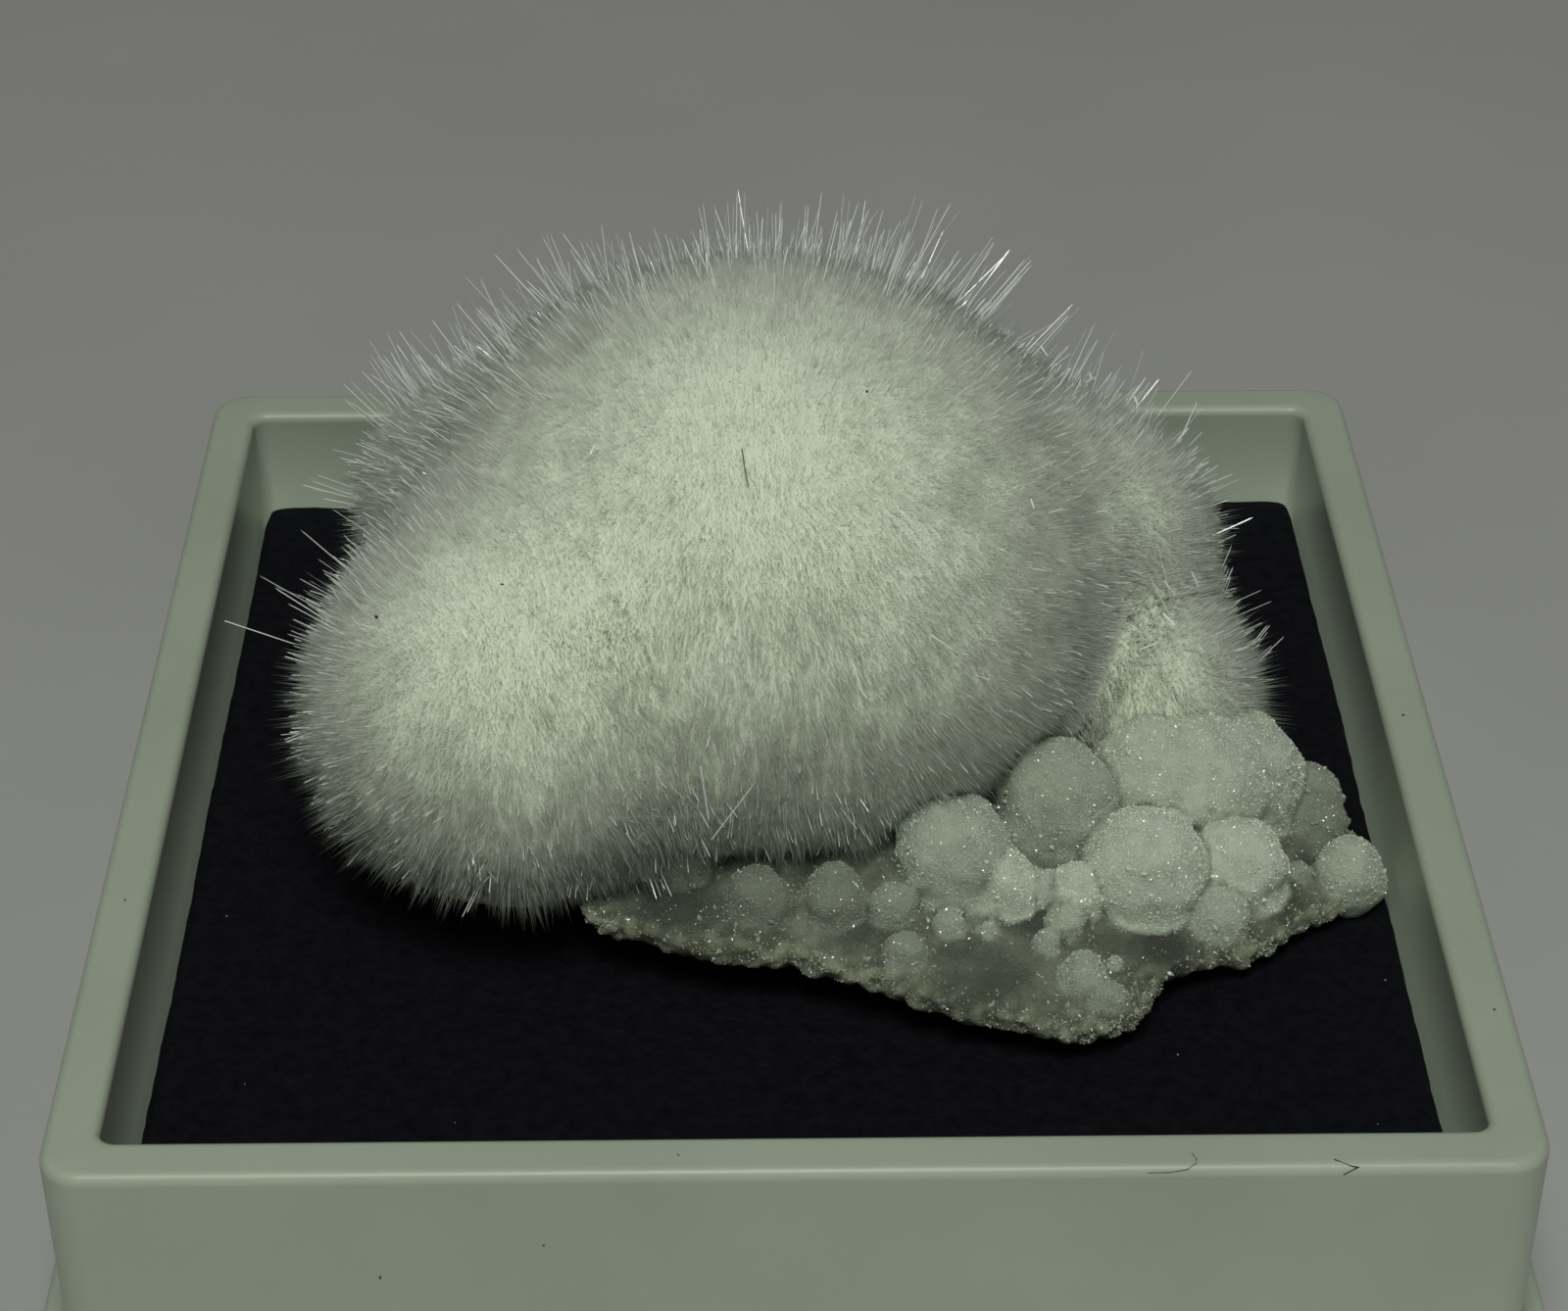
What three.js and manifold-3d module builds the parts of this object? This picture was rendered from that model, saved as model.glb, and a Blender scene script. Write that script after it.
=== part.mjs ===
// Okenite puffballs on a lumpy quartz crust, fixed on black foam in the base of a display box.
// Units are millimetres and +Z is up. The origin is the middle of the box's underside, and -Y
// is the front. The box base and the foam are plain mouldings; the crust and the puffballs are
// faceted bodies whose surfaces are shaped by small formulas.
import * as THREE from 'three';
import { mergeVertices } from 'three/addons/utils/BufferGeometryUtils.js';
import Module from 'manifold-3d';

const wasm = await Module();
wasm.setup();

// ---------------------------------------------------------------- driving dimensions

// Box base
const BOX_SIDE = 40; // outside of the upper wall
const BOX_HEIGHT = 11;
const WALL = 1.5;
const FLOOR = 1.5;
const LEDGE_SIDE = 42.4; // the lid rests on this ledge
const LEDGE_HEIGHT = 3;
const OUTER_CORNER = 1.2; // radius of the box's upright edges
const INNER_CORNER = 0.4;
const RIM_ROUND = 0.25;

// Foam pad
const FOAM_TOP = 7.5;
const FOAM_GAP = 0.3; // to the walls
const FOAM_CORNER = 1.6;

// Puffballs: a dense body of fibres, with spines that stand out as far as the longest fibres
const SPINE_REACH = 2.3; // of the longest spine, past the dense body
const SHORT_SPINE = 0.32; // of the shortest
const VALLEY_DEPTH = 0.03; // of the hollows between the spines, as a share of the radius
const BALLS = {
  large: { centre: [-0.7, 3.2, 15.0], radii: [11.4, 11.0, 8.6], detail: 5 },
  leftShoulder: { centre: [-9.3, 7.8, 13.8], radii: [4.5, 4.5, 4.5], detail: 2 },
  upperRight: { centre: [9.4, 4.9, 14.6], radii: [4.1, 4.1, 4.1], detail: 2 },
  lowerRight: { centre: [11.1, 1.2, 10.4], radii: [3.85, 3.85, 3.85], detail: 1 },
  left: { centre: [-8.2, -2.9, 13.75], radii: [6.3, 6.3, 6.3], detail: 3 },
};
const UNDERSIDE = 9.3; // the balls that grow on the crust have no fibres below this level

// Crust: a ragged plate with a low hill, thick in the middle and thin at its raised edge
const CRUST_GAP = 0.3; // between the crust and the fibres that grow on it
const CRUST_LEVEL = 9.43; // its upper face at the origin, without the hill
const CRUST_FALL = 0.075; // per millimetre towards +X
const HILL = { centre: [6, 0], width: [8.5, 7], height: 2.6 };
const EDGE_THICKNESS = 0.6;
const UNDERCUT = 7; // how steeply the underside drops from the edge to the foam
const EDGE_POINTS = 60;
const RAGGEDNESS = 0.4;
const CRUST_ROUGHNESS = 0.3;
const LUMP_ROUGHNESS = 0.14;
const DETAIL_LIMITS = [0.62, 1.8]; // a lump larger than each of these has finer facets
const CRUST_MIDDLE = [4.5, 1];
const CRUST_RINGS = [0.45, 0.7, 0.87, 1]; // shares of the way out to the edge
const CRUST_OUTLINE = [
  [18.1, -4.7], [17.2, -5.7], [16.1, -6.2], [14.9, -6.9], [14.2, -8.0], [13.1, -8.6], [11.8, -8.9],
  [10.8, -9.8], [10.0, -10.8], [9.2, -11.7], [8.0, -12.1], [6.6, -12.0], [5.2, -11.6], [4.1, -11.4],
  [3.4, -10.7], [2.0, -10.3], [0.4, -9.8], [-0.9, -9.4], [-2.7, -9.3], [-4.5, -8.6], [-6.0, -8.0],
  [-6.9, -6.2], [-7.6, -3.0], [-8.6, 1.0], [-9.6, 5.0], [-9.0, 8.5], [-6.0, 10.8], [-2.0, 12.2],
  [3.0, 13.4], [8.0, 14.0], [12.2, 13.0], [14.0, 10.6], [14.6, 8.0], [15.0, 4.5], [15.6, 1.8],
  [16.4, -0.6], [17.0, -2.4], [18.0, -3.4],
];

// Lumps on the crust: X, Y and radius, and how far the middle stands above the crust, as a share
// of the radius
const LUMPS = [
  [12.4, -2.7, 2.15, 0.35], [11.2, -2.7, 1.9, 0.35], [13.7, -1.9, 1.95, 0.35], [8.0, -4.1, 1.7, 0.3],
  [4.8, -6.2, 1.65, 0.3], [6.3, -7.1, 0.95, 0.4], [7.4, -7.0, 0.57, 0.35], [10.5, -6.3, 1.75, 0.35],
  [8.4, -7.2, 0.8, 0.4], [8.1, -8.2, 0.55, 0.4], [13.4, -5.6, 1.45, 0.35], [12.6, -7.5, 0.85, 0.3],
  [16.3, -1.4, 0.9, 0.35], [16.2, -2.7, 0.85, 0.3], [16.9, -4.9, 1.0, 0.35], [17.5, -4.7, 0.6, 0.3],
  [15.4, -5.0, 0.35, 0.6], [4.7, -8.5, 0.42, 0.5], [5.8, -8.5, 0.3, 0.5], [3.0, -7.9, 0.65, 0.4],
  [7.5, -9.0, 0.36, 0.6], [8.4, -10.3, 0.65, 0.6], [9.4, -9.4, 0.22, 0.7], [9.1, -11.0, 0.52, 0.3],
  [1.3, -7.6, 0.95, 0.3], [-0.9, -7.7, 0.95, 0.3], [-3.3, -5.8, 1.15, 0.3], [3.3, -9.6, 0.6, 0.2],
];

// ---------------------------------------------------------------- solids and meshes

// The same surface with each corner stored once, so that its faces are joined
function withSharedCorners(geometry) {
  const bare = geometry.clone();
  bare.deleteAttribute('normal');
  bare.deleteAttribute('uv');
  return mergeVertices(bare, 1e-4);
}

function toSolid(geometry) {
  const merged = withSharedCorners(geometry);
  return new wasm.Manifold(new wasm.Mesh({
    numProp: 3,
    vertProperties: new Float32Array(merged.attributes.position.array),
    triVerts: new Uint32Array(merged.index.array),
  }));
}

function toGeometry(solid) {
  const { vertProperties, triVerts } = solid.getMesh();
  const geometry = new THREE.BufferGeometry();
  geometry.setAttribute('position', new THREE.BufferAttribute(new Float32Array(vertProperties), 3));
  geometry.setIndex(new THREE.BufferAttribute(new Uint32Array(triVerts), 1));
  geometry.computeVertexNormals();
  return geometry;
}

function largestPiece(solid) {
  return solid.decompose().reduce((a, b) => (a.volume() > b.volume() ? a : b));
}

// A block wider and taller than the part, standing on the given level
function spaceAbove(level) {
  const geometry = new THREE.BoxGeometry(2 * LEDGE_SIDE, 2 * LEDGE_SIDE, LEDGE_SIDE);
  geometry.translate(0, 0, level + LEDGE_SIDE / 2);
  return toSolid(geometry);
}

// A repeatable number from 0 to 1 for any count
function scatter(n) {
  const s = Math.sin(n * 12.9898 + 4.1) * 43758.5453;
  return s - Math.floor(s);
}

// ---------------------------------------------------------------- display box and foam

function roundedSquare(side, radius) {
  const h = side / 2;
  const c = h - radius;
  const shape = new THREE.Shape();
  shape.absarc(c, c, radius, 0, Math.PI / 2);
  shape.absarc(-c, c, radius, Math.PI / 2, Math.PI);
  shape.absarc(-c, -c, radius, Math.PI, 1.5 * Math.PI);
  shape.absarc(c, -c, radius, 1.5 * Math.PI, 2 * Math.PI);
  return shape;
}

// A square slab with rounded uprights, whose top and bottom edges have the given rounding
function slab(side, corner, bottom, top, round) {
  const geometry = new THREE.ExtrudeGeometry(roundedSquare(side - 2 * round, corner - round), {
    depth: top - bottom - 2 * round,
    bevelEnabled: round > 0,
    bevelThickness: round,
    bevelSize: round,
    bevelSegments: 1,
    curveSegments: 4,
  });
  geometry.translate(0, 0, bottom + round);
  return toSolid(geometry);
}

function makeDisplayBox() {
  const ledge = slab(LEDGE_SIDE, OUTER_CORNER + 0.8, 0, LEDGE_HEIGHT, RIM_ROUND);
  const walls = slab(BOX_SIDE, OUTER_CORNER, LEDGE_HEIGHT / 2, BOX_HEIGHT, RIM_ROUND);
  const recess = slab(BOX_SIDE - 2 * WALL, INNER_CORNER, FLOOR, BOX_HEIGHT + 5, 0);
  return ledge.add(walls).subtract(recess);
}

function makeFoamPad() {
  const side = BOX_SIDE - 2 * WALL - 2 * FOAM_GAP;
  return slab(side, FOAM_CORNER, FLOOR, FOAM_TOP, 0);
}

// ---------------------------------------------------------------- crust

// A faceted ball, roughened so that its facets read as crystal faces
function lump(centre, radius, detail, roughness, seed) {
  const ball = withSharedCorners(new THREE.IcosahedronGeometry(radius, detail));
  const place = ball.attributes.position;
  for (let i = 0; i < place.count; i += 1) {
    const swell = 1 + roughness * (scatter(i + 31 * seed) - 0.5);
    const point = new THREE.Vector3().fromBufferAttribute(place, i).multiplyScalar(swell);
    place.setXYZ(i, ...point.add(new THREE.Vector3(...centre)).toArray());
  }
  return toSolid(ball);
}

function crustTop(x, y) {
  const [across, along] = HILL.centre.map((c, i) => ([x, y][i] - c) / HILL.width[i]);
  return CRUST_LEVEL - CRUST_FALL * x + HILL.height * Math.exp(-(across ** 2) - along ** 2);
}

function outFrom(middle, [x, y], distance) {
  const out = new THREE.Vector2(x - middle[0], y - middle[1]).normalize();
  return new THREE.Vector2(x, y).addScaledVector(out, distance);
}

function raggedEdge(grow) {
  const closed = [...CRUST_OUTLINE, CRUST_OUTLINE[0]];
  const curve = new THREE.SplineCurve(closed.map((p) => outFrom(CRUST_MIDDLE, p, 0)));
  return curve.getSpacedPoints(EDGE_POINTS).slice(0, -1).map((p, i) => (
    outFrom(CRUST_MIDDLE, p.toArray(), grow + RAGGEDNESS * (scatter(i) - 0.5))
  ));
}

// The plate is made of rings, from the middle of its upper face out to the edge and back
// underneath. With grow above 0 it is the space that the fibres leave free, and it then also
// reaches down into the foam, because nothing grows under the plate.
function crustPlate(grow) {
  const edge = raggedEdge(grow);
  const lowest = grow > 0 ? FOAM_TOP - 1 : FOAM_TOP;
  const rings = [
    ...CRUST_RINGS.map((share) => ({ share, upper: true })),
    ...CRUST_RINGS.toReversed().map((share) => ({ share, upper: false })),
  ];
  const places = [];
  const addPoint = (x, y, share, upper) => {
    const rough = share < 1 && grow === 0 ? CRUST_ROUGHNESS * (scatter(places.length) - 0.5) : 0;
    const top = crustTop(x, y) + grow;
    const drop = grow > 0 ? BOX_HEIGHT : EDGE_THICKNESS + UNDERCUT * (1 - share);
    places.push(x, y, upper ? top + rough : Math.max(lowest, top - drop));
  };
  rings.forEach(({ share, upper }) => edge.forEach((p) => {
    const [x, y] = p.toArray().map((v, i) => CRUST_MIDDLE[i] + share * (v - CRUST_MIDDLE[i]));
    addPoint(x, y, share, upper);
  }));
  const upperMiddle = places.length / 3;
  addPoint(...CRUST_MIDDLE, 0, true);
  addPoint(...CRUST_MIDDLE, 0, false);

  const faces = [];
  const n = edge.length;
  for (let i = 0; i < n; i += 1) {
    const next = (i + 1) % n;
    faces.push(upperMiddle, next, i);
    for (let ring = 0; ring < rings.length - 1; ring += 1) {
      const [a, b, c, d] = [i, next, n + i, n + next].map((v) => ring * n + v);
      faces.push(a, b, d, a, d, c);
    }
    const last = (rings.length - 1) * n;
    faces.push(upperMiddle + 1, last + i, last + next);
  }
  const geometry = new THREE.BufferGeometry();
  geometry.setAttribute('position', new THREE.Float32BufferAttribute(places, 3));
  geometry.setIndex(faces);
  return toSolid(geometry);
}

// The plate and its lumps, or with grow above 0 the smooth space that the fibres leave free
function crust(grow) {
  let body = crustPlate(grow);
  LUMPS.forEach(([x, y, radius, lift], i) => {
    const centre = [x, y, crustTop(x, y) + lift * radius];
    if (grow > 0) {
      const clear = radius * (1 + LUMP_ROUGHNESS / 2) + grow;
      body = body.add(lump(centre, clear, 1, 0, i));
    } else {
      const detail = DETAIL_LIMITS.filter((limit) => radius > limit).length;
      body = body.add(lump(centre, radius, detail, LUMP_ROUGHNESS, i));
    }
  });
  return body;
}

function makeMatrix() {
  return largestPiece(crust(0).intersect(spaceAbove(FOAM_TOP)));
}

// ---------------------------------------------------------------- puffballs

// Every face of the ball is a three-sided spine on the dense body of fibres. Most spines are short,
// and a few reach the full length.
function spinyBall({ centre, radii, detail }, seed) {
  const ball = withSharedCorners(new THREE.IcosahedronGeometry(1, detail));
  const { position } = ball.attributes;
  const direction = (i) => new THREE.Vector3().fromBufferAttribute(position, i);
  const size = new THREE.Vector3(...radii);
  const middle = new THREE.Vector3(...centre);
  const places = [];
  const addPoint = (point) => places.push(...point.add(middle).toArray());
  for (let i = 0; i < position.count; i += 1) {
    const dense = 1 - VALLEY_DEPTH * scatter(i + 7 * seed);
    addPoint(direction(i).multiply(size).multiplyScalar(dense));
  }
  const faces = [];
  for (let f = 0; f < ball.index.count; f += 3) {
    const [a, b, c] = ball.index.array.slice(f, f + 3);
    const out = direction(a).add(direction(b)).add(direction(c)).normalize();
    const reach = SHORT_SPINE + (SPINE_REACH - SHORT_SPINE) * scatter(f + 13 * seed) ** 4;
    const tip = places.length / 3;
    addPoint(out.clone().multiply(size).addScaledVector(out, reach));
    faces.push(a, b, tip, b, c, tip, c, a, tip);
  }
  const geometry = new THREE.BufferGeometry();
  geometry.setAttribute('position', new THREE.Float32BufferAttribute(places, 3));
  geometry.setIndex(faces);
  return toSolid(geometry);
}

function makePuffballs() {
  const { left, ...onCrust } = BALLS;
  let cluster = spinyBall(left, 1).intersect(spaceAbove(FOAM_TOP));
  Object.values(onCrust).forEach((ball, i) => {
    cluster = cluster.add(spinyBall(ball, 2 + i).intersect(spaceAbove(UNDERSIDE)));
  });
  return largestPiece(cluster.subtract(crust(CRUST_GAP)));
}

// ---------------------------------------------------------------- the part

const specimenBox = new THREE.Group();

function addPiece(name, solid, color, roughness) {
  const material = new THREE.MeshStandardMaterial({ color, roughness, metalness: 0 });
  const mesh = new THREE.Mesh(toGeometry(solid), material);
  mesh.name = name;
  specimenBox.add(mesh);
}

addPiece('display_box_base', makeDisplayBox(), 0xd9dccf, 0.45);
addPiece('foam_pad', makeFoamPad(), 0x15161c, 0.95);
addPiece('matrix', makeMatrix(), 0xa9ad98, 0.4);
addPiece('okenite_puffballs', makePuffballs(), 0xeff0e6, 0.7);

export default specimenBox;
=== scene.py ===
# %% [markdown]
# # Okenite puffballs in a specimen box
#
# Okenite grows as silky balls: thousands of straight fibres, each thinner than a hair, stand out
# from one point. Here a few such balls sit on a lumpy crust of quartz, and the crust lies on black
# foam in the white plastic base of a small display box. The solids are already there at their real
# size. This lesson gives each of them its surface: the moulding, the foam, the sugary crust, and
# above all the fibres.

# %% Load the solids
import math

import bmesh
import bpy
import numpy as np
from mathutils import Euler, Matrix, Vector
from mathutils import noise as noise3


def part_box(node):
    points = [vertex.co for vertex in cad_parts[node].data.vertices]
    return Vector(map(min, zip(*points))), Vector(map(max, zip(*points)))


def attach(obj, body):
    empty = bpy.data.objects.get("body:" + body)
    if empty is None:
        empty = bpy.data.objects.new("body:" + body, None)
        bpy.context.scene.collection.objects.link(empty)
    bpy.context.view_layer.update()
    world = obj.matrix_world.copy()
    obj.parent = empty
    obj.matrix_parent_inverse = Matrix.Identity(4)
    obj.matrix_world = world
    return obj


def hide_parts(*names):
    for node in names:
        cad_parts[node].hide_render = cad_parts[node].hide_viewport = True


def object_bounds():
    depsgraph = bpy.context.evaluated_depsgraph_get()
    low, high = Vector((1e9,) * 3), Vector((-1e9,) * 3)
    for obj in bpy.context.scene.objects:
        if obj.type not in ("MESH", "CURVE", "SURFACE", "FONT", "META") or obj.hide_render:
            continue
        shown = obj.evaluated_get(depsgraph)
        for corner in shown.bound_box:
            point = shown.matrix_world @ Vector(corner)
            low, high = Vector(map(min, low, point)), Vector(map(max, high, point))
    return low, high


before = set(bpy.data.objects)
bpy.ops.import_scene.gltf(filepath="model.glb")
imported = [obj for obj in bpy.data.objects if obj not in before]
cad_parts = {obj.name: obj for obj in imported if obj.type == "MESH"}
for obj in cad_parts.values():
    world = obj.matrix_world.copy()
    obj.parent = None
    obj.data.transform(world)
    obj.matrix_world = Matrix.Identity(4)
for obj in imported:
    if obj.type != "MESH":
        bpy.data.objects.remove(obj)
cad_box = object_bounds()
MM = 0.001
print("whole part, mm:", [tuple(round(v / MM, 1) for v in corner) for corner in cad_box])

# %% [markdown]
# ## Camera
#
# The view looks down into the box from the front, about a third of the way up from level, through
# a long lens. The numbers below place the rim, the uprights and the foam of a 40 mm box where such
# a close-up shows them.

# %% Camera
LENS = 78.93  # mm, on a sensor 36 mm wide
EYE = Vector((-1.205, -85.777, 73.794)) * MM
LOOK_DOWN = math.radians(35.108)
TURN_RIGHT = math.radians(0.757)


def new_object(name, data):
    """An object with this data, in the scene."""
    made = bpy.data.objects.new(name, data)
    bpy.context.scene.collection.objects.link(made)
    return made


camera_data = bpy.data.cameras.new("camera")
camera_data.lens = LENS
camera_data.sensor_width = 36
camera_data.clip_start = 0.005
camera = new_object("camera", camera_data)
camera.location = EYE
camera.rotation_euler = Euler((math.pi / 2 - LOOK_DOWN, 0, -TURN_RIGHT))
bpy.context.scene.camera = camera
print("camera", LENS, "mm, looking down", round(math.degrees(LOOK_DOWN), 1), "degrees")

# %% [markdown]
# ## Helpers
#
# Every piece below ends in the same way: a mesh becomes an object at the origin, rides on the
# part's one body, and takes its materials. Putting that in one function keeps the steps short.

# %% Finish a piece


def mesh_from(bm, name):
    """The bmesh as a mesh, with its faces turned outwards."""
    bmesh.ops.recalc_face_normals(bm, faces=bm.faces)
    mesh = bpy.data.meshes.new(name)
    bm.to_mesh(mesh)
    bm.free()
    return mesh


def finish_piece(name, mesh, material, slot, node, sharp=180):
    """The mesh as an object on the part. Edges that turn more than sharp degrees stay crisp."""
    mesh.materials.append(material)
    mesh.shade_smooth()
    if sharp < 180:
        mesh.set_sharp_from_angle(angle=math.radians(sharp))
    piece = new_object(name, mesh)
    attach(piece, "root")
    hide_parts(node)
    mesh.calc_loop_triangles()
    print(f"{name}: {len(mesh.loop_triangles)} triangles")
    return piece


def baked(mesh, modifiers):
    """A copy of the mesh with these modifiers applied: (kind, settings) pairs."""
    helper = new_object("helper", mesh)
    for kind, settings in modifiers:
        modifier = helper.modifiers.new(kind, kind)
        for key, value in settings.items():
            setattr(modifier, key, value)
    graph = bpy.context.evaluated_depsgraph_get()
    made = bpy.data.meshes.new_from_object(helper.evaluated_get(graph))
    bpy.data.objects.remove(helper)
    return made


# %% [markdown]
# A material is a small tree of nodes. Most of the trees here are one Principled shader whose colour
# and bump come from noise, so a few helpers add a node, set its values and link its inputs by name.

# %% Build a node tree


def new_material(name, **values):
    """A material and its Principled node, with these plain values on its sockets."""
    material = bpy.data.materials.new(name)
    material.use_nodes = True
    shader = material.node_tree.nodes["Principled BSDF"]
    for socket, value in values.items():
        shader.inputs[socket.replace("_", " ")].default_value = value
    return material, shader


def link(material, output, socket):
    """A link from the output to the socket."""
    material.node_tree.links.new(output, socket)


def add_node(material, kind, settings=(), **inputs):
    """A node with these settings; an input is a plain value, or the output socket that feeds it."""
    node = material.node_tree.nodes.new(kind)
    for key, value in dict(settings).items():
        setattr(node, key, value)
    for key, value in inputs.items():
        socket = node.inputs[key.replace("_", " ")]
        if isinstance(value, bpy.types.NodeSocket):
            link(material, value, socket)
        else:
            socket.default_value = value
    return node


def object_places(material):
    """The Object coordinates, in metres from the part's origin."""
    return add_node(material, "ShaderNodeTexCoord").outputs["Object"]


def noise(material, size, detail=3.0, roughness=0.5):
    """A noise value whose features are about this many metres across."""
    return add_node(
        material, "ShaderNodeTexNoise", Vector=object_places(material),
        Scale=1 / size, Detail=detail, Roughness=roughness,
    ).outputs["Fac"]


def ramp(material, value, stops):
    """Colours along a value: stops are (position, colour) pairs."""
    node = add_node(material, "ShaderNodeValToRGB", Fac=value)
    elements = node.color_ramp.elements
    for _ in range(len(stops) - 2):
        elements.new(0.5)
    for element, (position, colour) in zip(elements, stops):
        element.position = position
        element.color = (*colour, 1)
    return node.outputs["Color"]


def mix(material, share, one, other, blend="MIX"):
    """A colour between two, by a share that comes from a socket."""
    node = add_node(material, "ShaderNodeMix", {"data_type": "RGBA", "blend_type": blend})
    sockets = {s.identifier: s for s in node.inputs}
    for name, value in (("Factor_Float", share), ("A_Color", one), ("B_Color", other)):
        if isinstance(value, bpy.types.NodeSocket):
            link(material, value, sockets[name])
        elif name == "Factor_Float":
            sockets[name].default_value = value
        else:
            sockets[name].default_value = (*value, 1)
    return next(s for s in node.outputs if s.identifier == "Result_Color")


def bump(material, shader, height, strength, distance):
    """The height as a bump on the shader."""
    node = add_node(material, "ShaderNodeBump", Strength=strength, Distance=distance, Height=height)
    link(material, node.outputs["Normal"], shader.inputs["Normal"])


def attribute(material, name):
    """The value that the mesh carries under this name."""
    settings = {"attribute_name": name, "attribute_type": "GEOMETRY"}
    return add_node(material, "ShaderNodeAttribute", settings).outputs["Fac"]


# %% [markdown]
# ## The box base
#
# The base is moulded in white polystyrene: a square wall with soft edges, and a wider ledge below it
# that a lid would rest on. A square moulding with rounded corners is like a turned part whose
# section is a rounded square instead of a circle. So it starts as one rounded square. Its face is
# extruded again and again, and each time the new face takes the size of the next level of the
# profile. The rounded edges are quarter circles in that profile.

# %% Extrude a profile


def resize(verts, old, new):
    """Moves the corners' points from one rounded square to another."""
    for vert in verts:
        side = Vector((math.copysign(1, vert.co.x), math.copysign(1, vert.co.y)))
        way = (vert.co.xy - side * (old[0] - old[1])) / old[1]
        vert.co = (*(side * (new[0] - new[1]) + way * new[1]), new[2])


def moulding(name, profile):
    """A mesh of stacked rounded squares: profile is (half side, corner radius, height) rows."""
    half, corner = 2 * MM, MM
    bm = bmesh.new()
    verts = bmesh.ops.create_grid(bm, x_segments=1, y_segments=1, size=half)["verts"]
    bmesh.ops.bevel(
        bm, geom=verts, offset=corner, segments=8, profile=0.5, affect="VERTICES", material=-1,
    )
    face, = bm.faces
    resize(face.verts, (half, corner), profile[0])
    for level, (old, new) in enumerate(zip(profile, profile[1:])):
        made = bmesh.ops.extrude_face_region(bm, geom=[face])["geom"]
        if level > 0:
            bmesh.ops.delete(bm, geom=[face], context="FACES_ONLY")
        face, = (part for part in made if isinstance(part, bmesh.types.BMFace))
        resize(face.verts, old, new)
    return mesh_from(bm, name)


def round_edge(half, corner, height, radius, start, steps=5):
    """Profile rows round one edge. start is the side that the profile comes from: under, outside
    or top."""
    rows = []
    for i in range(steps + 1):
        turn = math.pi / 2 * i / steps
        before, after = radius * (1 - math.sin(turn)), radius * (1 - math.cos(turn))
        if start == "under":
            rows.append((half - before, corner - before, height + after))
        elif start == "outside":
            rows.append((half - after, corner - after, height - before))
        elif start == "top":
            rows.append((half + before, corner + before, height - after))
    return rows


# %% [markdown]
# The profile starts in the middle of the underside, goes out round the ledge, up the wall, over the
# rim and down to the floor inside. Its main sizes are read from the solids. Weighted normals keep
# the flat faces flat next to the rounded edges.

# %% Mould the base
ledge_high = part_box("display_box_base")[1]
foam_low, foam_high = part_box("foam_pad")
LEDGE_HALF, RIM = ledge_high[0], ledge_high[2]
WALL_HALF = 20.0 * MM
INSIDE_HALF = 18.5 * MM
LEDGE_TOP = 3.0 * MM
FLOOR, FOAM_TOP = foam_low[2], foam_high[2]
LEDGE_CORNER, WALL_CORNER, INSIDE_CORNER = 2.0 * MM, 1.2 * MM, 0.5 * MM
RIM_RADIUS, LEDGE_RADIUS = 0.32 * MM, 0.25 * MM

base_profile = (
    round_edge(LEDGE_HALF, LEDGE_CORNER, 0, LEDGE_RADIUS, "under")
    + round_edge(LEDGE_HALF, LEDGE_CORNER, LEDGE_TOP, LEDGE_RADIUS, "outside")
    + [(WALL_HALF, WALL_CORNER, LEDGE_TOP)]
    + round_edge(WALL_HALF, WALL_CORNER, RIM, RIM_RADIUS, "outside")
    + round_edge(INSIDE_HALF, INSIDE_CORNER, RIM, RIM_RADIUS, "top")
    + [(INSIDE_HALF, INSIDE_CORNER, FLOOR)]
)
base_mesh = moulding("box_base", base_profile)
print("box:", len(base_profile), "levels, rim", round(RIM / MM, 2), "mm above the table")

# %% [markdown]
# White polystyrene is slightly green in this light and not quite even: the mould leaves a faint
# orange-peel, and handling leaves fine scuffs. A little subsurface light softens its edges.

# %% White plastic
white_plastic, shader = new_material(
    "white_plastic", Roughness=0.38, Subsurface_Weight=0.15, Subsurface_Scale=1.5 * MM, IOR=1.5,
)
clouding = noise(white_plastic, 9 * MM, 4)
tint = ramp(white_plastic, clouding, [(0.3, (0.41, 0.475, 0.375)), (0.7, (0.47, 0.535, 0.425))])
link(white_plastic, tint, shader.inputs["Base Color"])
bump(white_plastic, shader, noise(white_plastic, 0.5 * MM, 4, 0.6), 0.10, 0.04 * MM)

base_mesh.shade_smooth()
base_mesh = baked(base_mesh, [("WEIGHTED_NORMAL", {"weight": 50})])
finish_piece("box_base", base_mesh, white_plastic, "white_plastic", "display_box_base")

# %% [markdown]
# ## The foam
#
# The pad is fine-celled black foam, a little rounder at its corners than the box. A cut edge of foam
# is soft, and its top is never quite level, so the moulded block is remeshed into an even skin of
# small faces that noise can push out and in.

# %% Foam pad
FOAM_HALF = foam_high[0] + 0.2 * MM
FOAM_CORNER = 0.7 * MM
FOAM_EDGE = 0.15 * MM
foam_block = moulding("foam", [
    (FOAM_HALF, FOAM_CORNER, FLOOR),
    (FOAM_HALF, FOAM_CORNER, FOAM_TOP - FOAM_EDGE),
    (FOAM_HALF - FOAM_EDGE, FOAM_CORNER - FOAM_EDGE, FOAM_TOP),
])


def texture(kind, size):
    """A texture for the Displace modifier, with features of that size in metres."""
    made = bpy.data.textures.new(kind.lower(), kind)
    made.noise_scale = size
    return made


foam_mesh = baked(foam_block, [
    ("REMESH", {"mode": "VOXEL", "voxel_size": 0.33 * MM}),
    ("SMOOTH", {"factor": 0.5, "iterations": 3}),
    ("DISPLACE", {"texture": texture("CLOUDS", 5 * MM), "strength": 0.10 * MM, "mid_level": 0.9}),
    ("DISPLACE", {"texture": texture("CLOUDS", 0.7 * MM), "strength": 0.08 * MM, "mid_level": 0.9}),
])

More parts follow.
